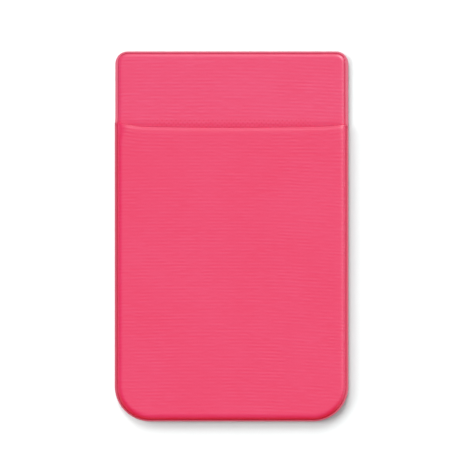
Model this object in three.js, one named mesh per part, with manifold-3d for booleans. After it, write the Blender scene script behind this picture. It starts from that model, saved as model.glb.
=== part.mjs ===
// Stick-on card pocket of stretch fabric, as it lies on its back on a table.
// X is the width, Y runs up to the end with the mouth, Z is the thickness. Sizes are millimetres.
// The origin is below the middle of the holder, on the rear face of the release liner.

import * as THREE from 'three';
import { mergeVertices } from 'three/addons/utils/BufferGeometryUtils.js';
import Module from 'manifold-3d';

// Die-cut outline, shared by both fabric panels
const panelWidth = 60;
const panelLength = 95;
const topCornerRadius = 3.2;
const bottomCornerRadius = 9.1;

// Backing that sticks the holder to a phone
const linerThickness = 0.1;
const adhesiveThickness = 0.3;
const adhesiveMargin = 2.4;
const liftTabWidth = 14;
const liftTabSetback = 0.7;
const liftTabCorner = 1.2;

// Back panel: a flange pressed flat round a padded face
const flangeThickness = 0.5;
const flangeWidth = 0.9;
const paddingHeight = 0.6;
const paddingRoll = 0.9;
const grooveWidth = 0.25;
const grooveDepth = 0.12;

// Pocket panel: doubled fabric over a space for one plastic card
const pocketRimThickness = 0.3;
const pocketRimWidth = 0.6;
const pocketWall = 0.6;
const cardHeadroom = 0.8;
const sideRoll = 0.7;
const bottomRoll = 2.4;
const panelClearance = 0.3;

// Mouth: the folded edge of the pocket, which sags in the middle and curls up at its ends
const mouthDrop = 19.6;
const mouthSag = 0.4;
const mouthCurl = 0.4;
const mouthCurlLength = 3;

// Fineness of the curved surfaces
const cornerSegments = 6;
const rollSegments = 6;
const mouthSegments = 40;
const foldSegments = 8;
const tightestCorner = 0.05;

// Heights inside the stuck-on part, counted from the rear face of the back panel
const paddingTop = flangeThickness + paddingHeight;
const pocketRimTop = flangeThickness + pocketRimThickness;
const slotTop = paddingTop + cardHeadroom;
const pocketTop = slotTop + pocketWall;

// Sizes that follow from the ones above
const foldRadius = pocketWall / 2;
const pocketHalfWidth = panelWidth / 2 - pocketRimWidth;
const coveredInset = pocketRimWidth + pocketWall + panelClearance;
const beyond = panelLength;

const colours = {
  paper: 0xf4f2ee,
  foamTape: 0xdfe1e0,
  backFabric: 0xef587b,
  pocketFabric: 0xf05275,
};

const wasm = await Module();
wasm.setup();

// Turns a closed three.js geometry into a solid that can be joined and cut.
function toSolid(geometry) {
  const bare = geometry.clone();
  bare.deleteAttribute('normal');
  bare.deleteAttribute('uv');
  const merged = mergeVertices(bare);
  const mesh = new wasm.Mesh({
    numProp: 3,
    vertProperties: merged.attributes.position.array,
    triVerts: Uint32Array.from(merged.index.array),
  });
  return new wasm.Manifold(mesh);
}

// Turns a solid back into a three.js geometry.
function toGeometry(solid) {
  const { vertProperties, triVerts } = solid.getMesh();
  const geometry = new THREE.BufferGeometry();
  geometry.setAttribute('position', new THREE.BufferAttribute(vertProperties, 3));
  geometry.setIndex(new THREE.BufferAttribute(triVerts, 1));
  geometry.computeVertexNormals();
  return geometry;
}

// The die-cut outline moved inwards, with two tight corners at the mouth end and two wide ones below.
function outline(inset) {
  const x = panelWidth / 2 - inset;
  const y = panelLength / 2 - inset;
  const top = Math.max(topCornerRadius - inset, tightestCorner);
  const bottom = Math.max(bottomCornerRadius - inset, tightestCorner);
  const shape = new THREE.Shape();
  shape.absarc(x - bottom, bottom - y, bottom, -Math.PI / 2, 0);
  shape.absarc(x - top, y - top, top, 0, Math.PI / 2);
  shape.absarc(top - x, y - top, top, Math.PI / 2, Math.PI);
  shape.absarc(bottom - x, bottom - y, bottom, Math.PI, 1.5 * Math.PI);
  return shape;
}

// A flat plate of any shape between two heights.
function plate(shape, bottomZ, topZ) {
  const geometry = new THREE.ExtrudeGeometry(shape, {
    depth: topZ - bottomZ,
    bevelEnabled: false,
    curveSegments: cornerSegments,
  });
  geometry.translate(0, 0, bottomZ);
  return toSolid(geometry);
}

// A block as wide as the holder and more, between two values of Y and two heights.
function block(lowY, highY, bottomZ, topZ) {
  const geometry = new THREE.BoxGeometry(panelWidth + beyond, highY - lowY, topZ - bottomZ);
  geometry.translate(0, (lowY + highY) / 2, (bottomZ + topZ) / 2);
  return toSolid(geometry);
}

// A plate on the outline whose upper rim rolls over in a quarter ellipse, between shoulder and top.
function rolledPlate(inset, roll, bottomZ, shoulderZ, topZ) {
  const geometry = new THREE.ExtrudeGeometry(outline(inset + roll), {
    depth: shoulderZ - bottomZ,
    bevelThickness: topZ - shoulderZ,
    bevelSize: roll,
    bevelSegments: rollSegments,
    curveSegments: cornerSegments,
  });
  geometry.translate(0, 0, bottomZ);
  return toSolid(geometry).subtract(block(-beyond, beyond, bottomZ - beyond, bottomZ));
}

// A bar across the whole width whose lower end, in Y, rolls over in a quarter ellipse.
function rolledEnd(inset, roll, bottomZ, shoulderZ, topZ) {
  const endY = inset - panelLength / 2;
  const profile = new THREE.Shape();
  profile.moveTo(endY, bottomZ);
  profile.lineTo(endY, shoulderZ);
  profile.absellipse(endY + roll, shoulderZ, roll, topZ - shoulderZ, Math.PI, Math.PI / 2, true);
  profile.lineTo(beyond, topZ);
  profile.lineTo(beyond, bottomZ);
  const geometry = new THREE.ExtrudeGeometry(profile, {
    depth: panelWidth,
    bevelEnabled: false,
    curveSegments: rollSegments,
  });
  geometry.translate(0, 0, -panelWidth / 2);
  const alongY = new THREE.Vector3(0, 1, 0);
  const alongZ = new THREE.Vector3(0, 0, 1);
  const alongX = new THREE.Vector3(1, 0, 0);
  geometry.applyMatrix4(new THREE.Matrix4().makeBasis(alongY, alongZ, alongX));
  return toSolid(geometry);
}

// A dished body: narrow rolls along its sides and a wider roll at its lower end.
function dishedBody(inset, rollAtSides, rollAtBottom, bottomZ, topZ) {
  const sides = rolledPlate(inset, rollAtSides, bottomZ, pocketRimTop, topZ);
  return sides.intersect(rolledEnd(inset, rollAtBottom, bottomZ, pocketRimTop, topZ));
}

// The groove that the welding tool presses round the inner edge of a flange.
function weldGroove(flangeInset, surfaceZ) {
  const ring = outline(flangeInset - grooveWidth);
  ring.holes.push(outline(flangeInset));
  return plate(ring, surfaceZ - grooveDepth, surfaceZ + grooveDepth);
}

// Y of the folded edge of the mouth at a distance x from the middle.
function mouthEdge(x) {
  const across = Math.min(Math.abs(x), pocketHalfWidth);
  const sag = mouthSag * (across / pocketHalfWidth) ** 2;
  const intoCurl = Math.max(across - pocketHalfWidth + mouthCurlLength, 0) / mouthCurlLength;
  return panelLength / 2 - mouthDrop + sag + mouthCurl * intoCurl ** 2;
}

// Everything past the mouth, up to the middle of the fold.
function regionPastMouth() {
  const edgeX = panelWidth / 2 + foldRadius;
  const points = [new THREE.Vector2(edgeX, beyond), new THREE.Vector2(-edgeX, beyond)];
  for (let i = 0; i <= mouthSegments; i += 1) {
    const x = edgeX * ((2 * i) / mouthSegments - 1);
    points.push(new THREE.Vector2(x, mouthEdge(x) - foldRadius));
  }
  return plate(new THREE.Shape(points), -beyond, beyond);
}

// The line that the fold runs along: up one side roll, across the mouth and down the other side.
function foldLine() {
  const rollWidth = sideRoll + foldRadius;
  const rollHeight = slotTop + foldRadius - pocketRimTop;
  const flatX = pocketHalfWidth - foldRadius - rollWidth;
  const half = [];
  for (let i = 0; i < mouthSegments / 2; i += 1) {
    half.push([(flatX * 2 * i) / mouthSegments, slotTop + foldRadius]);
  }
  for (let i = 0; i <= rollSegments; i += 1) {
    const turn = ((Math.PI / 2) * i) / rollSegments;
    half.push([flatX + rollWidth * Math.sin(turn), pocketRimTop + rollHeight * Math.cos(turn)]);
  }
  half.push([flatX + rollWidth, pocketRimTop - pocketRimThickness / 2]);
  const left = half.slice(1).reverse().map(([x, z]) => [-x, z]);
  const points = [...left, ...half].map(
    ([x, z]) => new THREE.Vector3(x, mouthEdge(x) - foldRadius, z),
  );
  return new THREE.CatmullRomCurve3(points);
}

// The rounded edge where the pocket's fabric folds back on itself.
function fold() {
  const section = new THREE.Shape();
  section.absarc(0, 0, foldRadius, 0, 2 * Math.PI);
  const geometry = new THREE.ExtrudeGeometry(section, {
    steps: 2 * mouthSegments,
    extrudePath: foldLine(),
    curveSegments: foldSegments / 2,
  });
  return toSolid(geometry);
}

// Foam-backed fabric: the flange all round, and the padded face, narrower where the pocket covers it.
function makeBackPanel() {
  const bareFrom = mouthEdge(pocketHalfWidth) + panelClearance;
  const bare = block(bareFrom, beyond, -beyond, beyond);
  const flange = plate(outline(0), 0, flangeThickness);
  const groove = weldGroove(flangeWidth, flangeThickness).intersect(bare);
  const shown = rolledPlate(flangeWidth, paddingRoll, 0, flangeThickness, paddingTop);
  const covered = rolledPlate(coveredInset, paddingRoll, 0, flangeThickness, paddingTop);
  return flange.subtract(groove).add(shown.intersect(bare)).add(covered);
}

// Doubled stretch fabric: welded rim, rolled walls over the card space, and the folded mouth.
function makePocketPanel() {
  const rim = plate(outline(0), flangeThickness, pocketRimTop);
  const rimWithGroove = rim.subtract(weldGroove(pocketRimWidth, pocketRimTop));
  const outer = dishedBody(
    pocketRimWidth,
    sideRoll + pocketWall,
    bottomRoll + pocketWall,
    flangeThickness,
    pocketTop,
  );
  const cardSpace = dishedBody(
    pocketRimWidth + pocketWall,
    sideRoll,
    bottomRoll,
    0,
    slotTop,
  );
  const shell = rimWithGroove.add(outer).subtract(cardSpace);
  return shell.subtract(regionPastMouth()).add(fold());
}

// Double-sided foam tape, set in from the outline so that it never shows.
function makeAdhesivePad() {
  return plate(outline(adhesiveMargin), 0, adhesiveThickness);
}

// Release paper cut with the adhesive, with a tab at the mouth end to lift it by.
function makeReleaseLiner() {
  const sheet = plate(outline(adhesiveMargin), 0, linerThickness);
  const tabX = liftTabWidth / 2;
  const tabEnd = panelLength / 2 - liftTabSetback;
  const corner = Math.min(liftTabCorner, adhesiveMargin - liftTabSetback);
  const tab = new THREE.Shape();
  tab.moveTo(-tabX, tabEnd - 2 * adhesiveMargin);
  tab.lineTo(tabX, tabEnd - 2 * adhesiveMargin);
  tab.absarc(tabX - corner, tabEnd - corner, corner, 0, Math.PI / 2);
  tab.absarc(corner - tabX, tabEnd - corner, corner, Math.PI / 2, Math.PI);
  return sheet.add(plate(tab, 0, linerThickness));
}

function namedMesh(name, solid, color, roughness) {
  const material = new THREE.MeshStandardMaterial({ color, roughness, metalness: 0 });
  const mesh = new THREE.Mesh(toGeometry(solid), material);
  mesh.name = name;
  return mesh;
}

const releaseLiner = namedMesh('release_liner', makeReleaseLiner(), colours.paper, 0.35);
const adhesivePad = namedMesh('adhesive_pad', makeAdhesivePad(), colours.foamTape, 0.6);
adhesivePad.position.z = linerThickness;

const pocket = new THREE.Group();
pocket.position.z = linerThickness + adhesiveThickness;
pocket.add(namedMesh('back_panel', makeBackPanel(), colours.backFabric, 0.85));
pocket.add(namedMesh('pocket_panel', makePocketPanel(), colours.pocketFabric, 0.85));

const cardHolder = new THREE.Group();
cardHolder.name = 'card_holder';
cardHolder.add(releaseLiner, adhesivePad, pocket);

export default cardHolder;
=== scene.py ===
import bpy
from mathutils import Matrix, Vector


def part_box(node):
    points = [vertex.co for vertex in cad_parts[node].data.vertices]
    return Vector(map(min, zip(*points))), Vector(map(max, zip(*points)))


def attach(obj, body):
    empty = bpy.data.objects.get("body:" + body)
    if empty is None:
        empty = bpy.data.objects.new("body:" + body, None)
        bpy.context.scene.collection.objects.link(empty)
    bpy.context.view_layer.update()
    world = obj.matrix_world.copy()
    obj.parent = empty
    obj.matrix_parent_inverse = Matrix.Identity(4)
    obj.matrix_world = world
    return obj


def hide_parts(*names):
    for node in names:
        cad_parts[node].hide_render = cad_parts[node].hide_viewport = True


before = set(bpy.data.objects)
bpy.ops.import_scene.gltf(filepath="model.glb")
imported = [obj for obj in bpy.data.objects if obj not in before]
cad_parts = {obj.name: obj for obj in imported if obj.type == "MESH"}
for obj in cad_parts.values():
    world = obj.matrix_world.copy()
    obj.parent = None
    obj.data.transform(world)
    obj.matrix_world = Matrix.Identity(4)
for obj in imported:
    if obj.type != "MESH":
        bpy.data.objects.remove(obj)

"""Looks of a stick-on card pocket of stretch fabric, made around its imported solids.

Everything is in metres in the row frame: X across the width, Y towards the mouth end, Z out of
the pocket's face. The holder lies on its back and the camera looks straight down on it.
"""

import logging
import math
from dataclasses import dataclass, field
from enum import Enum

import bmesh
import bpy
import numpy as np
from mathutils import Vector

MM = 0.001
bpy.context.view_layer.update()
UV_SPAN = 0.2  # metres of cloth in one unit of the UV map
WAVE_TURN = 20.0  # radians that the wave texture turns in one unit at scale 1
NOISE_RANGE = (0.3, 0.7)  # where nearly all of the noise texture lies
LATTICE_SIZE = (64, 512)  # the random numbers that the ribs' irregularities are drawn from
MOUTH_DROP = 19.6 * MM  # from the top edge down to the middle of the mouth
MOUTH_MARGIN = 0.6 * MM  # from each side in to the ends of the mouth
CUT_LINES = (0.0, 0.03 * MM, 0.08 * MM)  # grid lines over the rounded top of a cut edge
FLANGE_LINES = 6  # grid lines over the flat of a flange
WELD_FADE = 0.16 * MM  # over which a weld's colour ends at its groove
SMOOTH_ANGLE = 50.0  # degrees between faces up to which an edge is shaded smooth

logging.basicConfig(level=logging.INFO, format="%(name)s: %(message)s")
LOG = logging.getLogger("card_holder")

Array = np.ndarray
Colour = tuple[float, float, float]
Socket = bpy.types.NodeSocket


class Node(Enum):
    """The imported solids, by name."""

    BACK_PANEL = "back_panel"
    POCKET_PANEL = "pocket_panel"
    ADHESIVE_PAD = "adhesive_pad"
    RELEASE_LINER = "release_liner"


class Slot(Enum):
    """The material slots of the record."""

    FABRIC = "stretch_fabric"
    FOAM = "foam_tape"
    PAPER = "release_paper"


class Layer(Enum):
    """The two layers of the pocket's folded cloth."""

    OUTER = "outer"
    INNER = "inner"


class Reach(Enum):
    """What a studio light acts on."""

    MATT = "matt"
    GLOSS = "gloss"
    FLOOR = "floor"


def smooth_step(value: Array, low: float, high: float) -> Array:
    """Eases from 0 below low to 1 above high.

    Args:
        value: The numbers to ease.
        low: Where the step starts.
        high: Where the step ends.

    Returns:
        Numbers from 0 to 1.
    """
    share = np.clip((value - low) / (high - low), 0.0, 1.0)
    return share * share * (3.0 - 2.0 * share)


def quarter_round(share: Array, fullness: float = 2.0) -> Array:
    """The rise of a rolled edge: 0 at its foot, 1 at its crest, upright at the foot.

    Args:
        share: How far in from the foot each point lies, as a share of the roll.
        fullness: 2 gives a quarter ellipse, and more gives a squarer shoulder.

    Returns:
        The share of the height that is reached at each point.
    """
    left = (1.0 - np.clip(share, 0.0, 1.0)) ** fullness
    return (1.0 - left) ** (1.0 / fullness)


def node_box(node: Node) -> tuple[Vector, Vector]:
    """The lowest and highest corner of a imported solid."""
    low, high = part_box(node.value)
    return Vector(low), Vector(high)


@dataclass(frozen=True)
class Placed:
    """Points on a panel, seen from above.

    Attributes:
        x: Places across the width.
        y: Places along the length.
        inset: Distance in from the die-cut outline.
        facing_end: 0 where the nearest edge is a side, 1 where it is an end.
    """

    x: Array
    y: Array
    inset: Array
    facing_end: Array


@dataclass(frozen=True)
class DieCut:
    """The outline that both fabric panels are cut to: tight corners above, wide ones below."""

    width: float
    length: float
    top_corner: float = 3.2 * MM
    bottom_corner: float = 9.1 * MM

    def place(self, across: Array, along: Array) -> Placed:
        """Moves points of the sharp-cornered rectangle onto the rounded outline.

        Lines at a constant distance from an edge stay at that distance round the corner.

        Args:
            across: Places across the width of the rectangle.
            along: Places along the length of the rectangle.

        Returns:
            The moved points, with their distance from the outline.
        """
        from_side = self.width / 2 - np.abs(across)
        from_end = self.length / 2 - np.abs(along)
        inset = np.minimum(from_side, from_end)
        corner = np.where(along > 0, self.top_corner, self.bottom_corner)
        radius = np.maximum(corner - inset, 0.0)
        run = np.maximum(from_side, from_end) - inset
        in_corner = run < radius
        turn = (1.0 - run / np.where(in_corner, radius, 1.0)) * math.pi / 4
        by_side = from_side < from_end
        angle = np.where(by_side, turn, math.pi / 2 - turn)
        corner_x = self.width / 2 - inset - radius + radius * np.cos(angle)
        corner_y = self.length / 2 - inset - radius + radius * np.sin(angle)
        facing = np.where(by_side, 0.0, 1.0)
        return Placed(
            x=np.where(in_corner, corner_x, np.abs(across)) * np.sign(across),
            y=np.where(in_corner, corner_y, np.abs(along)) * np.sign(along),
            inset=inset,
            facing_end=np.where(in_corner, np.sin(angle), facing),
        )


@dataclass(frozen=True)
class Mouth:
    """The folded edge of the pocket, which sags in the middle and curls up at its ends."""

    middle_y: float
    half_width: float
    sag: float = 0.4 * MM
    left_curl: float = 1.0 * MM
    right_curl: float = 0.45 * MM
    curl_length: float = 6.5 * MM
    curl_power: float = 1.5

    def rise(self, x: Array) -> Array:
        """How far the edge lies above its middle.

        Args:
            x: Places across the width.

        Returns:
            The rise at each place.
        """
        across = np.minimum(np.abs(x), self.half_width)
        into_curl = np.maximum(across - self.half_width + self.curl_length, 0.0) / self.curl_length
        curl = np.where(x < 0, self.left_curl, self.right_curl)
        sag = self.sag * (across / self.half_width) ** 2
        return sag + curl * into_curl**self.curl_power


@dataclass(frozen=True)
class KnitRibs:
    """The fine ribs of the knit, which run across the width, bow a little and wander.

    Attributes:
        spacing: Distance from rib to rib.
        height: Height of a rib over the cloth's mean surface.
        left_droop: How far a rib drops at the left edge.
        right_droop: How far a rib drops at the right edge.
        droop_from: Where the drop to the right starts, as a share of the reach.
        droop_power: How late the drop to the right steepens.
        reach: Distance from the middle at which the drop ends.
        drift: How far neighbouring ribs wander together.
        drift_patch: Size of the patches that do, across and along.
        streak_length: About how long a rib runs before it shifts or thickens.
        shift_patch: Size of a shift, in streak lengths and in ribs.
        dash_length: About how long a rib runs before it fades.
        wander: How far a rib shifts, in radians of its wave.
        trough_power: How much narrower the troughs are than the ribs.
        even_share: Share of the relief that is even ribs.
        dash_share: Share of the relief that comes and goes in dashes.
        uneven_share: Share of the relief that is irregular.
        uneven_patch: Size of an irregularity along the cloth, in ribs.
        strength_swing: How much the whole relief varies.
        strength_patch: Size of the patches over which it does, across and along.
        seed: Seed of the irregularities.
    """

    spacing: float
    height: float = 0.0083 * MM
    left_droop: float = 0.25 * MM
    right_droop: float = 1.1 * MM
    droop_from: float = 0.1
    droop_power: float = 1.6
    reach: float = 30.0 * MM
    drift: float = 0.12 * MM
    drift_patch: tuple[float, float] = (12.0 * MM, 8.0 * MM)
    streak_length: float = 1.8 * MM
    shift_patch: tuple[float, float] = (1.4, 2.4)
    dash_length: float = 1.6 * MM
    wander: float = 0.5
    trough_power: float = 1.4
    even_share: float = 0.55
    dash_share: float = 0.75
    uneven_share: float = 0.5
    uneven_patch: float = 0.5
    strength_swing: float = 0.4
    strength_patch: tuple[float, float] = (9.0 * MM, 3.0 * MM)
    seed: int = 7

    def bow(self, x: Array) -> Array:
        """How far each rib lies below its crest.

        Args:
            x: Places across the width.

        Returns:
            The drop at each place.
        """
        share = x / self.reach
        left = self.left_droop * np.clip(-share, 0.0, 1.0) ** 2
        into_droop = np.clip((share - self.droop_from) / (1.0 - self.droop_from), 0.0, 1.0)
        return left + self.right_droop * into_droop**self.droop_power

    def streaks(self, x: Array, along: Array, long: float, short: float, seed: int) -> Array:
        """Smooth noise that is stretched across the width.

        Args:
            x: Places across the width.
            along: Places along the cloth.
            long: Size of a patch across the width.
            short: Size of a patch along the cloth.
            seed: Seed of the noise.

        Returns:
            Numbers from about -1 to 1.
        """
        columns, rows = LATTICE_SIZE
        lattice = np.random.default_rng(seed).uniform(-1.0, 1.0, LATTICE_SIZE)
        column = x / long + columns / 2
        row = along / short + rows / 2
        left = np.floor(column).astype(int)
        below = np.floor(row).astype(int)
        across = smooth_step(column - left, 0.0, 1.0)
        upward = smooth_step(row - below, 0.0, 1.0)
        edges = []
        for step in (0, 1):
            start = lattice[left % columns, (below + step) % rows]
            end = lattice[(left + 1) % columns, (below + step) % rows]
            edges.append(start * (1 - across) + end * across)
        return edges[0] * (1 - upward) + edges[1] * upward

    def profile(self, x: Array, along: Array, bow_share: Array) -> Array:
        """The relief of the ribs, from about -1 in a trough to 1 on a rib.

        Args:
            x: Places across the width.
            along: Places along the cloth.
            bow_share: How much of the bow applies at each point.

        Returns:
            The relief at each point.
        """
        drift = self.drift * self.streaks(x, along, *self.drift_patch, self.seed)
        course = along + self.bow(x) * bow_share + drift
        long = self.shift_patch[0] * self.streak_length
        short = self.shift_patch[1] * self.spacing
        shift = self.streaks(x, course, long, short, self.seed + 1)
        turn = 2 * math.pi * course / self.spacing + self.wander * shift
        even = 1.0 - 2.0 * (0.5 - 0.5 * np.cos(turn)) ** self.trough_power
        dashes = self.streaks(x, course, self.dash_length, self.spacing, self.seed + 4)
        short = self.uneven_patch * self.spacing
        uneven = self.streaks(x, course, self.streak_length, short, self.seed + 2)
        swing = self.streaks(x, course, *self.strength_patch, self.seed + 3)
        ribs = even * (self.even_share + self.dash_share * dashes) + self.uneven_share * uneven
        return ribs * (1.0 + self.strength_swing * swing)


class NodeGraph:
    """The node tree of one material."""

    def __init__(self, name: str) -> None:
        """Starts a material with a Principled shader.

        Args:
            name: The material's name.
        """
        self.material = bpy.data.materials.new(name)
        self.material.use_nodes = True
        self.tree = self.material.node_tree
        self.tree.nodes.clear()
        self.shader = self.tree.nodes.new("ShaderNodeBsdfPrincipled")
        output = self.tree.nodes.new("ShaderNodeOutputMaterial")
        self.link(self.shader.outputs["BSDF"], output.inputs["Surface"])

    def link(self, source: Socket, target: Socket) -> None:
        """Joins an output socket to an input socket."""
        self.tree.links.new(source, target)

    def coordinates(self, kind: str) -> Socket:
        """The Object coordinates or the UV map of the piece."""
        return self.tree.nodes.new("ShaderNodeTexCoord").outputs[kind]

    def attribute(self, name: str) -> Socket:
        """A number that the piece's mesh holds at each vertex.

        Args:
            name: The number's name.

        Returns:
            The number.
        """
        node = self.tree.nodes.new("ShaderNodeAttribute")
        node.attribute_name = name
        return node.outputs["Fac"]

    def mapped(self, source: Socket, scale: tuple[float, float, float]) -> Socket:
        """Coordinates multiplied along each axis.

        Args:
            source: The coordinates.
            scale: The factor along each axis.

        Returns:
            The multiplied coordinates.
        """
        node = self.tree.nodes.new("ShaderNodeMapping")
        node.inputs["Scale"].default_value = scale
        self.link(source, node.inputs["Vector"])
        return node.outputs["Vector"]

    def noise(self, source: Socket, scale: float, detail: float = 2.0) -> Socket:
        """Smooth noise.

        Args:
            source: The coordinates.
            scale: About the count of patches in a metre.
            detail: Count of finer layers in the noise.

        Returns:
            Numbers from 0 to 1, which lie mostly in NOISE_RANGE.
        """
        node = self.tree.nodes.new("ShaderNodeTexNoise")
        node.inputs["Scale"].default_value = scale
        node.inputs["Detail"].default_value = detail
        self.link(source, node.inputs["Vector"])
        return node.outputs["Fac"]

    def wave(
        self, source: Socket, axis: str, scale: float, distortion: float = 0.0, phase: float = 0.0
    ) -> Socket:
        """Evenly spaced bands.

        Args:
            source: The coordinates.
            axis: The axis that the bands cross, X or Y.
            scale: The texture's scale.
            distortion: How far the bands waver.
            phase: How far the bands are moved, in radians.

        Returns:
            Numbers from 0 to 1.
        """
        node = self.tree.nodes.new("ShaderNodeTexWave")
        node.bands_direction = axis
        node.inputs["Scale"].default_value = scale
        node.inputs["Distortion"].default_value = distortion
        node.inputs["Phase Offset"].default_value = phase
        self.link(source, node.inputs["Vector"])
        return node.outputs["Fac"]

    def ranged(
        self, source: Socket, from_range: tuple[float, float], to_range: tuple[float, float]
    ) -> Socket:
        """A number moved from one range to another, and kept inside it.

        Args:
            source: The number.
            from_range: The range that it comes in.
            to_range: The range that it leaves in.

        Returns:
            The moved number.
        """
        node = self.tree.nodes.new("ShaderNodeMapRange")
        node.inputs["From Min"].default_value = from_range[0]
        node.inputs["From Max"].default_value = from_range[1]
        node.inputs["To Min"].default_value = to_range[0]
        node.inputs["To Max"].default_value = to_range[1]
        self.link(source, node.inputs["Value"])
        return node.outputs["Result"]

    def math(self, operation: str, first: Socket, second: Socket | float) -> Socket:
        """One sum of two numbers.

        Args:
            operation: The Math node's operation.
            first: The first number.
            second: The second number, from a node or plain.

        Returns:
            The result.
        """
        node = self.tree.nodes.new("ShaderNodeMath")
        node.operation = operation
        self.link(first, node.inputs[0])
        if isinstance(second, float):
            node.inputs[1].default_value = second
        else:
            self.link(second, node.inputs[1])
        return node.outputs["Value"]

    def blended(self, share: Socket, first: Socket | Colour, second: Socket | Colour) -> Socket:
        """A colour between two colours, which may be plain or come from nodes.

        Args:
            share: How far the colour lies towards the second one.
            first: The first colour.
            second: The second colour.

        Returns:
            The blended colour.
        """
        node = self.tree.nodes.new("ShaderNodeMix")
        node.data_type = "RGBA"
        self.link(share, node.inputs["Factor"])
        colour_sockets = [s for s in node.inputs if s.type == "RGBA"]
        for socket, colour in zip(colour_sockets, (first, second)):
            if isinstance(colour, tuple):
                socket.default_value = (*colour, 1.0)
            else:
                self.link(colour, socket)
        return next(s for s in node.outputs if s.type == "RGBA")

    def bump(
        self, height: Socket, distance: float, strength: float, under: Socket | None = None
    ) -> Socket:
        """A bumped normal.

        Args:
            height: The relief.
            distance: Depth of the relief, in metres.
            strength: How strongly it shows.
            under: The normal that it is laid over, if there is one.

        Returns:
            The normal.
        """
        node = self.tree.nodes.new("ShaderNodeBump")
        node.inputs["Distance"].default_value = distance
        node.inputs["Strength"].default_value = strength
        self.link(height, node.inputs["Height"])
        if under is not None:
            self.link(under, node.inputs["Normal"])
        return node.outputs["Normal"]


@dataclass(frozen=True)
class StretchFabric:
    """Fine-ribbed stretch knit with a soft gloss.

    It is paler along its welded flange. Its rib troughs are coloured darker: painted shade in the
    troughs. Where the piece's vertices ask for it, it is coloured deeper and loses its gloss:
    painted shade on the foot of the pocket's roll. With open_loops small gaps open between its
    loops where the vertices say so. Both say it with a number of 0 to 1.
    """

    name: str
    colour: Colour
    # the rib troughs' darker colour: painted shade in the troughs
    trough_shade_colour: Colour
    weld_colour: Colour
    # the deeper colour that paints shade on the foot of the roll
    painted_shade_colour: Colour = (0.74, 0.005, 0.036)
    open_colour: Colour = (0.74, 0.003, 0.06)
    roughness: float = 0.48
    shine: float = 0.62
    # the gloss left on the foot of the roll, kept low to darken it: painted shade
    painted_shade_shine: float = 0.05
    wale_spacing: float = 1.19 * MM
    course_spacing: float = 1.2 * MM
    course_shift: float = 0.13 * MM
    open_share: float = 0.7
    patch_scale: float = 60.0
    patch_swing: float = 0.25
    fuzz_scale: float = 2500.0
    fuzz_depth: float = 0.02 * MM
    stitch_depth: float = 0.01 * MM
    roughness_swing: float = 0.06
    stitch_spacing: float = 0.32 * MM
    # whether the foot of the roll gets painted shade
    paints_shade: bool = False
    open_loops: bool = False

    def make(self) -> bpy.types.Material:
        """Builds the material.

        Returns:
            A material that reads the piece's UV map and the numbers on its vertices.
        """
        graph = NodeGraph(self.name)
        cloth = graph.mapped(graph.coordinates("UV"), (UV_SPAN, UV_SPAN, UV_SPAN))
        patches = graph.noise(cloth, self.patch_scale, detail=3.0)
        rib_share = graph.ranged(graph.attribute("rib"), (-1.0, 1.0), (0.0, 1.0))
        swing = graph.ranged(patches, NOISE_RANGE, (-self.patch_swing, self.patch_swing))
        # painted shade in the rib troughs, plus random patches of tone
        shade = graph.math("ADD", rib_share, swing)
        tone_and_shade = graph.blended(shade, self.trough_shade_colour, self.colour)
        shine_socket = graph.shader.inputs["Specular IOR Level"]
        shine_socket.default_value = self.shine
        if self.open_loops:
            gaps = graph.ranged(self.loops(graph, cloth), (0.1, 1.0), (0.0, self.open_share))
            tone_and_shade = graph.blended(gaps, tone_and_shade, self.open_colour)
        # painted shade on the foot of the roll: a deeper colour and less gloss
        if self.paints_shade:
            painted_shade = graph.attribute("painted_shade")
            tone_and_shade = graph.blended(painted_shade, tone_and_shade, self.painted_shade_colour)
            shine = graph.ranged(painted_shade, (0.0, 1.0), (self.shine, self.painted_shade_shine))
            graph.link(shine, shine_socket)
        coloured = graph.blended(graph.attribute("weld"), tone_and_shade, self.weld_colour)
        graph.link(coloured, graph.shader.inputs["Base Color"])
        fuzz = graph.noise(cloth, self.fuzz_scale)
        least = self.roughness - self.roughness_swing
        rough = graph.ranged(fuzz, NOISE_RANGE, (least, self.roughness + self.roughness_swing))
        graph.link(rough, graph.shader.inputs["Roughness"])
        graph.link(self.relief(graph, cloth, fuzz), graph.shader.inputs["Normal"])
        return graph.material

    def relief(self, graph: NodeGraph, cloth: Socket, fuzz: Socket) -> Socket:
        """The bumps of the single stitches, on top of the ribs of the mesh.

        Args:
            graph: The material's nodes.
            cloth: Places on the flat cloth.
            fuzz: Noise at the size of a thread.

        Returns:
            The bumped normal.
        """
        stitches = graph.math(
            "MULTIPLY",
            graph.wave(cloth, "X", self.bands(self.stitch_spacing), distortion=1.0),
            graph.wave(cloth, "Y", self.bands(self.stitch_spacing), distortion=1.0),
        )
        normal = graph.bump(stitches, self.stitch_depth, strength=0.3)
        return graph.bump(fuzz, self.fuzz_depth, strength=0.25, under=normal)

    def loops(self, graph: NodeGraph, cloth: Socket) -> Socket:
        """The gaps between loops, which open where the knit bends down to the mouth.

        Args:
            graph: The material's nodes.
            cloth: Places on the flat cloth.

        Returns:
            A number that is above 0 in each gap, in rows that are offset by half a loop.
        """
        phase = -2 * math.pi * self.course_shift / self.course_spacing
        wales = graph.wave(cloth, "X", self.bands(self.wale_spacing))
        courses = graph.wave(cloth, "Y", self.bands(self.course_spacing), phase=phase)
        across = graph.ranged(wales, (0.0, 1.0), (-1.0, 1.0))
        along = graph.ranged(courses, (0.0, 1.0), (-1.0, 1.0))
        lattice = graph.math("MULTIPLY", across, along)
        return graph.math("MULTIPLY", lattice, graph.attribute("loops"))

    @staticmethod
    def bands(spacing: float) -> float:
        """The wave texture's scale that gives one band to each spacing."""
        return 2 * math.pi / (WAVE_TURN * spacing)


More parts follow.
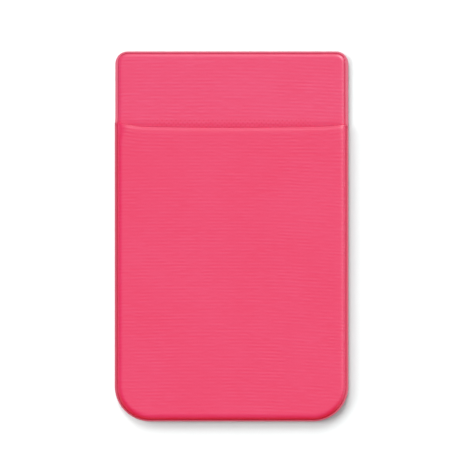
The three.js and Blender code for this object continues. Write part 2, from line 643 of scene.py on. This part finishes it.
@dataclass(frozen=True)
class FoamTape:
    """Closed-cell foam tape, pale grey with fine pores."""

    name: str = "foam_tape"
    colour: Colour = (0.74, 0.75, 0.74)
    pore_colour: Colour = (0.55, 0.56, 0.56)
    roughness: tuple[float, float] = (0.75, 0.6)

    def make(self) -> bpy.types.Material:
        """Builds the material, on Object coordinates.

        Returns:
            The material.
        """
        graph = NodeGraph(self.name)
        place = graph.coordinates("Object")
        pores = graph.noise(place, scale=3500.0)
        share = graph.ranged(pores, (0.42, 0.55), (0.0, 1.0))
        colour = graph.blended(share, self.pore_colour, self.colour)
        graph.link(colour, graph.shader.inputs["Base Color"])
        rough = graph.ranged(pores, NOISE_RANGE, self.roughness)
        graph.link(rough, graph.shader.inputs["Roughness"])
        graph.link(graph.bump(pores, 0.05 * MM, strength=0.5), graph.shader.inputs["Normal"])
        return graph.material


@dataclass(frozen=True)
class ReleasePaper:
    """Coated release paper, off-white with faint fibres under a soft gloss."""

    name: str = "release_paper"
    colour: Colour = (0.9, 0.88, 0.84)
    fibre_colour: Colour = (0.82, 0.79, 0.73)
    roughness: tuple[float, float] = (0.42, 0.3)

    def make(self) -> bpy.types.Material:
        """Builds the material, on Object coordinates.

        Returns:
            The material.
        """
        graph = NodeGraph(self.name)
        place = graph.coordinates("Object")
        fibres = graph.noise(graph.mapped(place, (1.0, 0.25, 1.0)), scale=900.0, detail=5.0)
        share = graph.ranged(fibres, (0.4, 0.6), (0.0, 1.0))
        colour = graph.blended(share, self.fibre_colour, self.colour)
        graph.link(colour, graph.shader.inputs["Base Color"])
        rough = graph.ranged(fibres, NOISE_RANGE, self.roughness)
        graph.link(rough, graph.shader.inputs["Roughness"])
        graph.link(graph.bump(fibres, 0.01 * MM, strength=0.3), graph.shader.inputs["Normal"])
        return graph.material


@dataclass(frozen=True)
class PaleFloor:
    """A matt white studio floor."""

    name: str = "pale_floor"
    colour: Colour = (0.79, 0.82, 0.817)
    speck_colour: Colour = (0.77, 0.8, 0.797)
    roughness: float = 0.9
    shine: float = 0.1

    def make(self) -> bpy.types.Material:
        """Builds the material, on Object coordinates.

        Returns:
            The material.
        """
        graph = NodeGraph(self.name)
        grain = graph.noise(graph.coordinates("Object"), scale=400.0)
        colour = graph.blended(grain, self.colour, self.speck_colour)
        graph.link(colour, graph.shader.inputs["Base Color"])
        graph.shader.inputs["Roughness"].default_value = self.roughness
        graph.shader.inputs["Specular IOR Level"].default_value = self.shine
        return graph.material


def start_grid(name: str, columns: int, rows: int) -> bpy.types.Object:
    """Adds a flat grid to be shaped into a panel.

    Args:
        name: The piece's name.
        columns: Count of vertices across.
        rows: Count of vertices along.

    Returns:
        The new object, with its vertices in rows from the left.
    """
    bpy.ops.object.select_all(action="DESELECT")
    bpy.ops.mesh.primitive_grid_add(x_subdivisions=columns - 1, y_subdivisions=rows - 1, size=1.0)
    piece = bpy.context.object
    piece.name = name
    piece.data.name = name
    return piece


def shape_grid(piece: bpy.types.Object, points: Array, cloth: Array) -> None:
    """Moves a grid's vertices to their places and lays its UV map out as the cloth was cut.

    Args:
        piece: The grid.
        points: One place for each vertex.
        cloth: The place of each vertex on the flat cloth.
    """
    mesh = piece.data
    mesh.vertices.foreach_set("co", points.astype(np.float32).ravel())
    corner_vertices = np.empty(len(mesh.loops), dtype=np.int32)
    mesh.loops.foreach_get("vertex_index", corner_vertices)
    uv = cloth[corner_vertices] / UV_SPAN + 0.5
    mesh.uv_layers.active.data.foreach_set("uv", uv.astype(np.float32).ravel())
    mesh.update()


def add_numbers(piece: bpy.types.Object, name: str, values: Array) -> None:
    """Stores one number for each vertex of a piece, for its material to read."""
    attribute = piece.data.attributes.new(name, "FLOAT", "POINT")
    attribute.data.foreach_set("value", values.astype(np.float32).ravel())


def finish_piece(piece: bpy.types.Object, material: bpy.types.Material) -> None:
    """Smooths a piece, dresses it and lets it ride on the holder's body.

    Args:
        piece: The piece.
        material: Its material.
    """
    bpy.ops.object.select_all(action="DESELECT")
    piece.select_set(True)
    bpy.context.view_layer.objects.active = piece
    bpy.ops.object.shade_smooth_by_angle(angle=math.radians(SMOOTH_ANGLE))
    piece.data.materials.clear()
    piece.data.materials.append(material)
    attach(piece, "root")
    LOG.info("%s: %d faces", piece.name, len(piece.data.polygons))


def edge_lines(flange: float, roll: float, steps: int) -> list[float]:
    """Distances from an edge at which a panel's grid has lines.

    Args:
        flange: Width of the flat flange.
        roll: Width of the rolled wall behind it.
        steps: Count of lines over the roll.

    Returns:
        The distances, from the edge inwards.
    """
    level = list(np.linspace(2 * CUT_LINES[-1], flange, FLANGE_LINES)[:-1])
    turns = [math.pi / 2 * i / steps for i in range(steps + 1)]
    rolled = [flange + roll * (1.0 - math.cos(turn)) for turn in turns]
    return [*CUT_LINES, *level, *rolled]


def panel_lines(low: list[float], high: list[float], half: float, spacing: float) -> Array:
    """Grid lines across a panel: fine near both edges and even between them.

    Args:
        low: Distances from the low edge at which lines lie.
        high: Distances from the high edge at which lines lie.
        half: Half of the panel's size.
        spacing: About the distance between lines in the middle.

    Returns:
        The lines' places, from the low edge to the high one.
    """
    count = max(2, round((2 * half - low[-1] - high[-1]) / spacing))
    middle = np.linspace(low[-1] - half, half - high[-1], count + 1)[1:-1]
    return np.concatenate([np.array(low) - half, middle, half - np.array(high[::-1])])


@dataclass
class BackPanel:
    """The foam-backed panel: a flat flange round a padded, finely ribbed face."""

    outline: DieCut
    mouth: Mouth
    ribs: KnitRibs
    finish: StretchFabric
    rear_z: float
    face_z: float
    flange_height: float = 0.5 * MM
    left_flange: float = 0.74 * MM
    right_flange: float = 0.9 * MM
    end_flange: float = 0.56 * MM
    covered_flange: float = 1.5 * MM
    roll: float = 0.9 * MM
    groove_depth: float = 0.15 * MM
    groove_reach: float = 0.16 * MM
    cut_round: float = 0.08 * MM
    crown: float = 0.08 * MM
    dip: float = 0.14 * MM
    dip_reach: float = 1.6 * MM
    left_narrowing: float = 0.15 * MM
    right_narrowing: float = 0.02 * MM
    end_groove_share: float = 0.6
    strained_share: float = 0.24
    narrowing_reach: float = 3.0 * MM
    dip_from: float = -0.4 * MM
    dip_fade: tuple[float, float] = (1.0 * MM, 5.0 * MM)
    covered_fade: tuple[float, float] = (-1.2 * MM, 0.2 * MM)
    loops_from: tuple[float, float] = (-0.2 * MM, 0.1 * MM)
    loops_to: tuple[float, float] = (1.9 * MM, 2.5 * MM)
    loops_inset: tuple[float, float] = (6.0 * MM, 12.0 * MM)
    overlap: float = 2.0 * MM
    covered_rows: int = 40
    bottom_line: float = 0.6 * MM
    roll_steps: int = 9
    column_spacing: float = 0.55 * MM
    row_spacing: float = 0.15 * MM
    piece: bpy.types.Object | None = field(default=None, init=False)

    def rows(self) -> Array:
        """Lines along the length: fine where the panel shows, wide where the pocket covers it.

        Returns:
            The lines' places, from the bottom edge up.
        """
        half = self.outline.length / 2
        end = edge_lines(self.end_flange, self.roll, self.roll_steps)
        shown_from = self.mouth.middle_y - self.overlap
        bottom = [distance - half for distance in (*CUT_LINES, self.bottom_line)]
        covered = np.linspace(self.covered_flange - half, shown_from, self.covered_rows)
        top_inner = half - end[-1]
        count = round((top_inner - shown_from) / self.row_spacing)
        shown = np.linspace(shown_from, top_inner, count + 1)[1:-1]
        return np.concatenate([bottom, covered, shown, half - np.array(end[::-1])])

    def covered(self, place: Placed) -> Array:
        """How far the padding is narrowed at each point to pass under the pocket."""
        above_mouth = place.y - self.mouth.middle_y - self.mouth.rise(place.x)
        return 1.0 - smooth_step(above_mouth, *self.covered_fade)

    def flange(self, place: Placed) -> Array:
        """Width of the flat flange at each point of the part that shows."""
        side = np.where(place.x < 0, self.left_flange, self.right_flange)
        return side + (self.end_flange - side) * smooth_step(place.facing_end, 0.0, 1.0)

    def height(self, place: Placed) -> Array:
        """Height of the panel's upper side, without its ribs.

        Args:
            place: The points.

        Returns:
            The height at each point.
        """
        flange = self.flange(place)
        groove = self.groove_depth * (1.0 + self.end_groove_share * place.facing_end)
        shown = self.rolled(place, flange, groove)
        hidden = self.rolled(place, np.full_like(flange, self.covered_flange), 0.0 * groove)
        return shown + (hidden - shown) * self.covered(place)

    def rolled(self, place: Placed, flange: Array, groove: Array) -> Array:
        """Height over a flange, a groove and a rolled wall.

        Args:
            place: The points.
            flange: Width of the flange at each point.
            groove: Depth of the groove at each point.

        Returns:
            The height at each point.
        """
        flange_z = self.rear_z + self.flange_height
        cut = self.cut_round * (1.0 - quarter_round(place.inset / self.cut_round))
        into_groove = 1.0 - (flange - place.inset) / self.groove_reach
        on_flange = flange_z - cut - groove * smooth_step(into_groove, 0.0, 1.0)
        foot = flange_z - groove
        crown = self.crown * (1.0 - (2 * place.x / self.outline.width) ** 2)
        above_mouth = place.y - self.mouth.middle_y - self.mouth.rise(place.x)
        dip = self.dip * (1.0 - smooth_step(above_mouth, self.dip_from, self.dip_reach))
        dip = dip * smooth_step(place.inset, *self.dip_fade)
        rise = quarter_round((place.inset - flange) / self.roll)
        padded = foot + (self.face_z + crown - dip - foot) * rise
        return np.where(place.inset < flange, on_flange, padded)

    def build(self) -> bpy.types.Object:
        """Models and dresses the panel.

        Returns:
            The finished piece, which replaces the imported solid.
        """
        columns = panel_lines(
            edge_lines(self.left_flange, self.roll, self.roll_steps),
            edge_lines(self.right_flange, self.roll, self.roll_steps),
            self.outline.width / 2,
            self.column_spacing,
        )
        rows = self.rows()
        across, along = np.meshgrid(columns, rows)
        place = self.outline.place(across, along)
        narrow_from = self.mouth.middle_y
        above_mouth = smooth_step(place.y, narrow_from, narrow_from + self.narrowing_reach)
        narrowing = np.where(place.x < 0, self.left_narrowing, self.right_narrowing)
        x = place.x * (1.0 - narrowing / (self.outline.width / 2) * above_mouth)
        rib = self.ribs.profile(x, place.y, np.ones_like(x))
        flange = self.flange(place)
        on_face = smooth_step(place.inset, flange, flange + 0.5 * self.roll)
        z = self.height(place) + self.ribs.height * rib * on_face
        piece = start_grid("padded_back_panel", len(columns), len(rows))
        points = np.stack([x, place.y, z], axis=-1).reshape(-1, 3)
        cloth = np.stack([across, along], axis=-1).reshape(-1, 2)
        shape_grid(piece, points, cloth)
        add_numbers(piece, "rib", rib * on_face)
        weld = 1.0 - smooth_step(place.inset, flange - WELD_FADE, flange)
        strained = 1.0 - smooth_step(place.inset, flange, flange + self.roll)
        weld = np.maximum(weld, self.strained_share * strained)
        add_numbers(piece, "weld", weld)
        add_numbers(piece, "loops", self.loosened(place, x) * on_face)
        self.close_underside(piece)
        finish_piece(piece, self.finish.make())
        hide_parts(Node.BACK_PANEL.value)
        self.piece = piece
        return piece

    def loosened(self, place: Placed, x: Array) -> Array:
        """How far the loops stand open: in a band above the mouth, clear of the sides.

        Args:
            place: The points.
            x: Their places across the width, once the panel is narrowed.

        Returns:
            Numbers from 0 to 1.
        """
        over = place.y - self.mouth.middle_y - self.mouth.rise(x)
        band = smooth_step(over, *self.loops_from) * (1.0 - smooth_step(over, *self.loops_to))
        return band * smooth_step(place.inset, *self.loops_inset)

    def close_underside(self, piece: bpy.types.Object) -> None:
        """Draws the cut edge down to the rear face and closes that face.

        Args:
            piece: The panel, still open below.
        """
        bpy.ops.object.mode_set(mode="EDIT")
        bpy.ops.mesh.select_mode(type="EDGE")
        bpy.ops.mesh.select_all(action="DESELECT")
        bpy.ops.mesh.select_non_manifold()
        drop = self.flange_height - self.cut_round
        bpy.ops.mesh.extrude_region_move(TRANSFORM_OT_translate={"value": (0.0, 0.0, -drop)})
        bpy.ops.mesh.edge_face_add()
        bpy.ops.mesh.select_all(action="SELECT")
        bpy.ops.mesh.normals_make_consistent(inside=False)
        bpy.ops.object.mode_set(mode="OBJECT")


@dataclass
class PocketPanel:
    """The pocket: cloth folded over at the mouth, its two layers welded down on three sides."""

    outline: DieCut
    mouth: Mouth
    ribs: KnitRibs
    finish: StretchFabric
    rear_z: float
    face_z: float
    rim_height: float = 0.3 * MM
    side_rim: float = 0.66 * MM
    end_rim: float = 0.5 * MM
    wall: float = 0.6 * MM
    side_roll: float = 0.8 * MM
    left_mouth_roll: float = 2.4 * MM
    right_mouth_roll: float = 1.1 * MM
    mouth_roll_reach: float = 5.0 * MM
    end_roll: float = 1.05 * MM
    fullness: float = 2.4
    groove_depth: float = 0.13 * MM
    end_groove_share: float = 0.6
    groove_reach: float = 0.18 * MM
    cut_round: float = 0.08 * MM
    seam_gap: float = 0.005 * MM
    crown: float = 0.05 * MM
    hem_drop: float = 0.13 * MM
    hem_reach: float = 1.15 * MM
    hem_crease: float = 0.012 * MM
    hem_crease_spacing: float = 0.55 * MM
    end_bump: float = 0.25 * MM
    bump_from: float = 0.2
    # where shade is painted on the foot of the roll: full along the bottom, half up the left side,
    # none up the right
    painted_shade_from: float = 0.1
    painted_shade_reach: float = 0.65
    corner_reach: float = 0.25
    left_side_loss: float = 0.5
    right_side_loss: float = 1.0
    follow_reach: float = 12.0 * MM
    bow_reach: float = 14.0 * MM
    rib_fade: float = 0.3 * MM
    side_roll_steps: int = 10
    end_roll_steps: int = 14
    column_spacing: float = 0.55 * MM
    row_spacing: float = 0.15 * MM
    inner_step: int = 8
    fold_steps: int = 10
    piece: bpy.types.Object | None = field(default=None, init=False)

    @property
    def fold_y(self) -> float:
        """Where the fold's round starts, in the middle of the mouth."""
        return self.mouth.middle_y - (self.wall - self.hem_drop) / 2

    def rows(self) -> Array:
        """Lines along the length, from the bottom edge to where the fold starts.

        Returns:
            The lines' places, from the bottom edge up.
        """
        half = self.outline.length / 2
        end = edge_lines(self.end_rim, self.end_roll + self.wall, self.end_roll_steps)
        count = round((self.fold_y + half - end[-1]) / self.row_spacing)
        face = np.linspace(end[-1] - half, self.fold_y, count + 1)[1:]
        return np.concatenate([np.array(end) - half, face])

    def follow_mouth(self, x: Array, y: Array) -> Array:
        """Bends the rows near the mouth so that the last one follows its edge."""
        share = smooth_step(y, self.fold_y - self.follow_reach, self.fold_y)
        return y + self.mouth.rise(x) * share

    def facing_bottom(self, place: Placed) -> Array:
        """How far the nearest edge of each point is the bottom one."""
        return smooth_step(place.facing_end, 0.0, 1.0) * (place.y < 0)

    def rim(self, place: Placed) -> Array:
        """Width of the flat rim at each point."""
        return self.side_rim + (self.end_rim - self.side_rim) * self.facing_bottom(place)

    def roll(self, place: Placed) -> Array:
        """Width of the roll, which widens where the sides reach the mouth.

        Args:
            place: The points.

        Returns:
            The width at each point.
        """
        side = self.side_roll + (self.end_roll - self.side_roll) * self.facing_bottom(place)
        near_mouth = smooth_step(place.y, self.fold_y - self.mouth_roll_reach, self.fold_y)
        widest = np.where(place.x < 0, self.left_mouth_roll, self.right_mouth_roll)
        return side + (widest - self.side_roll) * near_mouth

    def height(self, place: Placed, layer: Layer) -> Array:
        """Height of one layer of the pocket, without its ribs.

        Args:
            place: The points.
            layer: The layer.

        Returns:
            The height at each point.
        """
        rim = self.rim(place)
        rim_z = self.rear_z + self.rim_height
        roll = self.roll(place)
        crown = self.crown * (1.0 - (2 * place.x / self.outline.width) ** 2)
        if layer is Layer.INNER:
            share = (place.inset - rim - self.wall) / roll
            foot = self.rear_z + self.seam_gap
            ceiling = self.face_z - self.wall + crown
            return foot + (ceiling - foot) * quarter_round(share)
        from_mouth = np.maximum(self.fold_y - place.y, 0.0)
        near_mouth = np.clip(1.0 - from_mouth / self.hem_reach, 0.0, 1.0)
        hem = self.hem_drop * near_mouth**2
        crease = np.cos(2 * math.pi * from_mouth / self.hem_crease_spacing)
        hem = hem - self.hem_crease * crease * near_mouth
        cut = 1.0 - quarter_round(place.inset / self.cut_round)
        into_groove = 1.0 - (rim - place.inset) / self.groove_reach
        depth = self.groove_depth * (1.0 + self.end_groove_share * self.facing_bottom(place))
        groove = depth * smooth_step(into_groove, 0.0, 1.0)
        bump = self.end_bump * smooth_step(near_mouth, self.bump_from, 1.0)
        bump = bump * quarter_round(place.inset / rim)
        on_rim = rim_z - self.cut_round * cut - groove + bump
        foot = rim_z - depth + bump
        share = (place.inset - rim) / (roll + self.wall)
        rise = quarter_round(share, self.fullness)
        rolled = foot + (self.face_z + crown - hem - foot) * rise
        return np.where(place.inset < rim, on_rim, rolled)

    def build(self) -> bpy.types.Object:
        """Models and dresses the pocket.

        Returns:
            The finished piece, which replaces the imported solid.
        """
        side = edge_lines(self.side_rim, self.side_roll + self.wall, self.side_roll_steps)
        columns = panel_lines(side, side, self.outline.width / 2, self.column_spacing)
        rows = self.rows()
        across, along = np.meshgrid(columns, rows)
        place = self.outline.place(across, along)
        y = self.follow_mouth(place.x, place.y)
        bow_share = 1.0 - smooth_step(along, self.fold_y - self.bow_reach, self.fold_y)
        rib = self.ribs.profile(place.x, place.y, bow_share)
        rim = self.rim(place)
        rib = rib * smooth_step(place.inset, rim, rim + self.rib_fade)
        outer_z = self.height(place, Layer.OUTER) + self.ribs.height * rib
        kept = np.unique(np.append(np.arange(0, len(rows), self.inner_step), len(rows) - 1))
        inner_z = self.height(place, Layer.INNER)
        outer = np.stack([place.x, y, outer_z], axis=-1)
        inner = np.stack([place.x, y, inner_z], axis=-1)[kept][::-1]
        fold = self.fold_rows(outer[-1], inner[0], place.inset[-1])
        points = np.concatenate([outer, fold, inner])
        piece = start_grid("folded_pocket_panel", len(columns), len(points))
        shape_grid(piece, points.reshape(-1, 3), self.cloth_places(across, along, kept))
        weld = 1.0 - smooth_step(place.inset, rim - WELD_FADE, rim)
        # painted shade on the foot of the roll, kept off the weld
        painted_shade = self.painted_shade(place) * (1.0 - weld)
        for name, values in (("rib", rib), ("weld", weld), ("painted_shade", painted_shade)):
            add_numbers(piece, name, self.spread(values, len(fold), kept))
        self.close_edges(piece, len(columns), len(outer), len(points), kept)
        finish_piece(piece, self.finish.make())
        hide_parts(Node.POCKET_PANEL.value)
        self.piece = piece
        return piece

    def painted_shade(self, place: Placed) -> Array:
        """How much shade is painted on the cloth: at the foot of the bottom roll, half as much up
        the left side, none up the right side or near the mouth.

        Args:
            place: The points.

        Returns:
            Numbers from 0 to 1.
        """
        into_wall = (place.inset - self.rim(place)) / (self.roll(place) + self.wall)
        at_corner = 4.0 * place.facing_end**2 * (1.0 - place.facing_end**2)
        width = self.painted_shade_reach + self.corner_reach * at_corner - self.painted_shade_from
        at_foot = 1.0 - smooth_step((into_wall - self.painted_shade_from) / width, 0.0, 1.0)
        loss = np.where(place.x > 0, self.right_side_loss, self.left_side_loss)
        by_side = loss * (1.0 - self.facing_bottom(place))
        by_mouth = smooth_step(place.y, self.fold_y - self.mouth_roll_reach, self.fold_y)
        return at_foot * (1.0 - by_side) * (1.0 - by_mouth)

    def spread(self, values: Array, fold_count: int, kept: Array) -> Array:
        """Extends numbers on the outer layer over the fold and the inner layer.

        Args:
            values: Numbers on the outer layer's rows.
            fold_count: Count of rows round the fold.
            kept: The rows that the inner layer has as well.

        Returns:
            Numbers on all rows of the piece.
        """
        folded = np.repeat(values[-1:], fold_count, axis=0)
        return np.concatenate([values, folded, values[kept][::-1]])

    def fold_rows(self, last_outer: Array, first_inner: Array, inset: Array) -> Array:
        """Rows that carry the cloth round the fold, from the outer layer to the inner one.

        Args:
            last_outer: The outer layer's last row.
            first_inner: The inner layer's first row.
            inset: Distance of each of their points from the outline.

        Returns:
            The rows between the two.
        """
        rise = (last_outer[:, 2] - first_inner[:, 2]) / 2
        reach = (self.wall - self.hem_drop) / 2 * smooth_step(inset, -self.wall, self.side_rim)
        middle = (last_outer + first_inner) / 2
        turned = []
        for step in range(1, self.fold_steps):
            turn = math.pi * step / self.fold_steps
            row = middle.copy()
            row[:, 1] += reach * math.sin(turn)
            row[:, 2] += rise * math.cos(turn)
            turned.append(row)
        return np.stack(turned)

    def cloth_places(self, across: Array, along: Array, kept: Array) -> Array:
        """The place of each vertex on the flat cloth, which folds back at the mouth.

        Args:
            across: Places of the outer layer's vertices across the width.
            along: Their places along the length.
            kept: The outer rows that the inner layer has as well.

        Returns:
            One place for each vertex of the piece.
        """
        fold = math.pi * self.wall / 2
        turns = np.arange(1, self.fold_steps) / self.fold_steps * fold
        folded = np.repeat(across[-1:], len(turns), axis=0)
        inner_along = 2 * along[-1] + fold - along[kept][::-1]
        outer = np.stack([across, along], axis=-1)
        round_fold = np.stack([folded, along[-1] + turns[:, None] + 0 * folded], axis=-1)
        inner = np.stack([across[kept][::-1], inner_along], axis=-1)
        return np.concatenate([outer, round_fold, inner]).reshape(-1, 2)

    def close_edges(
        self, piece: bpy.types.Object, columns: int, outer_rows: int, all_rows: int, kept: Array
    ) -> None:
        """Joins the edges of the two layers along the sides and the bottom.

        Args:
            piece: The folded panel, still open along its edges.
            columns: Count of vertices in a row.
            outer_rows: Count of rows of the outer layer.
            all_rows: Count of rows of both layers and the fold.
            kept: The outer rows that the inner layer has as well.
        """
        faces = []
        last = (all_rows - 1) * columns
        for index in range(columns - 1):
            faces.append((index, last + index, last + index + 1, index + 1))
        for edge in (0, columns - 1):
            for step in range(len(kept) - 1):
                outer = [row * columns + edge for row in range(kept[step], kept[step + 1] + 1)]
                inner = [(all_rows - 1 - s) * columns + edge for s in (step + 1, step)]
                faces.append(tuple(outer + inner))
            fold = range(outer_rows - 1, all_rows - len(kept) + 1)
            faces.append(tuple(row * columns + edge for row in fold))
        add_faces(piece, faces)


def add_faces(piece: bpy.types.Object, faces: list[tuple[int, ...]]) -> None:
    """Adds faces between vertices that a piece already has.

    Args:
        piece: The piece.
        faces: The vertices of each face, in order round it.
    """
    work = bmesh.new()
    work.from_mesh(piece.data)
    work.verts.ensure_lookup_table()
    for face in faces:
        work.faces.new([work.verts[index] for index in face])
    bmesh.ops.holes_fill(work, edges=work.edges, sides=0)
    bmesh.ops.recalc_face_normals(work, faces=work.faces)
    work.to_mesh(piece.data)
    work.free()
    piece.data.update()


@dataclass
class Backing:
    """The adhesive pad and the release liner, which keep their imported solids."""

    foam: FoamTape
    paper: ReleasePaper

    def dress(self) -> None:
        """Gives both solids their finishes."""
        finishes = {Node.ADHESIVE_PAD: self.foam, Node.RELEASE_LINER: self.paper}
        for node, finish in finishes.items():
            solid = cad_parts[node.value]
            solid.data.materials.clear()
            solid.data.materials.append(finish.make())
            LOG.info("%s: dressed as packed", solid.name)


@dataclass(frozen=True)
class Lamp:
    """A broad, distant light.

    Attributes:
        name: The light's name.
        towards: Where it stands, seen from above.
        elevation: Its height over the horizon, in degrees.
        spread: Its apparent size, in degrees.
        power: Its strength.
        reach: What it lights.
    """

    name: str
    towards: tuple[float, float]
    elevation: float
    spread: float
    power: float
    reach: Reach


@dataclass
class Studio:
    """A pale floor, soft lights and a camera that looks straight down."""

    view_width: float = 120.7 * MM
    camera_height: float = 2.5
    camera_x: float = 0.88 * MM
    camera_y: float = 0.35 * MM
    sensor: float = 36.0
    surroundings: float = 0.5
    floor_size: float = 4.0
    lamps: tuple[Lamp, ...] = (
        Lamp("overhead_light", (0.02, 0.45), 74.0, 60.0, 1.72, Reach.MATT),
        Lamp("gloss_light", (0.68, 0.73), 36.0, 48.0, 6.8, Reach.GLOSS),
        Lamp("left_floor_light", (-0.965, 0.264), 22.7, 47.0, 3.85, Reach.FLOOR),
        Lamp("rear_floor_light", (-0.191, 0.982), 29.0, 38.0, 3.6, Reach.FLOOR),
    )

    def build(self) -> None:
        """Makes the floor, the lights, the surroundings and the camera."""
        floor = self.add_floor()
        for lamp in self.lamps:
            self.add_lamp(lamp, floor)
        self.add_surroundings()
        self.add_camera()
        bpy.context.scene.view_settings.view_transform = "Standard"

    def add_floor(self) -> bpy.types.Object:
        """Lays the floor under the holder.

        Returns:
            The floor.
        """
        bpy.ops.object.select_all(action="DESELECT")
        bpy.ops.mesh.primitive_plane_add(size=self.floor_size, location=(0.0, 0.0, 0.0))
        floor = bpy.context.object
        floor.name = "floor"
        floor.data.materials.append(PaleFloor().make())
        return floor

    def add_lamp(self, lamp: Lamp, floor: bpy.types.Object) -> None:
        """Adds one light, turned towards the holder.

        Args:
            lamp: What the light is like.
            floor: The floor, which has lights of its own.
        """
        bpy.ops.object.light_add(type="SUN")
        light = bpy.context.object
        light.name = lamp.name
        rise = math.radians(lamp.elevation)
        level = Vector((*lamp.towards, 0.0)).normalized() * math.cos(rise)
        source = Vector((level.x, level.y, math.sin(rise)))
        light.rotation_mode = "QUATERNION"
        light.rotation_quaternion = source.to_track_quat("Z", "Y")
        light.location = source
        light.data.angle = math.radians(lamp.spread)
        light.data.energy = lamp.power
        light.visible_diffuse = lamp.reach is not Reach.GLOSS
        light.visible_glossy = lamp.reach is not Reach.MATT
        lit = bpy.data.collections.new(f"{lamp.name}_reach")
        lit.objects.link(floor)
        on_floor = lamp.reach is Reach.FLOOR
        lit.collection_objects[0].light_linking.link_state = "INCLUDE" if on_floor else "EXCLUDE"
        light.light_linking.receiver_collection = lit

    def add_surroundings(self) -> None:
        """Surrounds the scene with even white light."""
        world = bpy.data.worlds.new("studio")
        world.use_nodes = True
        background = world.node_tree.nodes["Background"]
        background.inputs["Color"].default_value = (1.0, 1.0, 1.0, 1.0)
        background.inputs["Strength"].default_value = self.surroundings
        bpy.context.scene.world = world

    def add_camera(self) -> None:
        """Hangs the camera over the holder."""
        bpy.ops.object.camera_add(location=(self.camera_x, self.camera_y, self.camera_height))
        camera = bpy.context.object
        camera.name = "camera"
        camera.data.sensor_width = self.sensor
        camera.data.lens = self.sensor * self.camera_height / self.view_width
        camera.data.clip_start = 0.01
        camera.data.clip_end = 10.0
        bpy.context.scene.camera = camera


def main() -> None:
    """Builds the holder's pieces in order, then the studio."""
    back_low, back_high = node_box(Node.BACK_PANEL)
    pocket_low, pocket_high = node_box(Node.POCKET_PANEL)
    outline = DieCut(width=back_high.x - back_low.x, length=back_high.y - back_low.y)
    mouth = Mouth(
        middle_y=outline.length / 2 - MOUTH_DROP, half_width=outline.width / 2 - MOUTH_MARGIN
    )
    # The back panel's cloth is coloured paler than the pocket's: painted light, for the brighter
    # sheen on it.
    back_fabric = StretchFabric(
        name="back_stretch_fabric",
        colour=(0.815, 0.038, 0.147),
        trough_shade_colour=(0.803, 0.018, 0.114),
        weld_colour=(0.7, 0.112, 0.19),
        open_loops=True,
    )
    pocket_fabric = StretchFabric(
        name="pocket_stretch_fabric",
        colour=(0.815, 0.0245, 0.1235),
        trough_shade_colour=(0.803, 0.009, 0.096),
        weld_colour=(0.63, 0.085, 0.15),
        paints_shade=True,
    )
    back = BackPanel(
        outline=outline,
        mouth=mouth,
        ribs=KnitRibs(spacing=0.915 * MM, seed=11),
        finish=back_fabric,
        rear_z=back_low.z,
        face_z=back_high.z,
    )
    back.build()
    pocket = PocketPanel(
        outline=outline,
        mouth=mouth,
        ribs=KnitRibs(spacing=0.875 * MM, height=0.0082 * MM, seed=23),
        finish=pocket_fabric,
        rear_z=pocket_low.z,
        face_z=pocket_high.z,
    )
    pocket.build()
    Backing(foam=FoamTape(), paper=ReleasePaper()).dress()
    Studio().build()


if __name__ == "__main__":
    main()
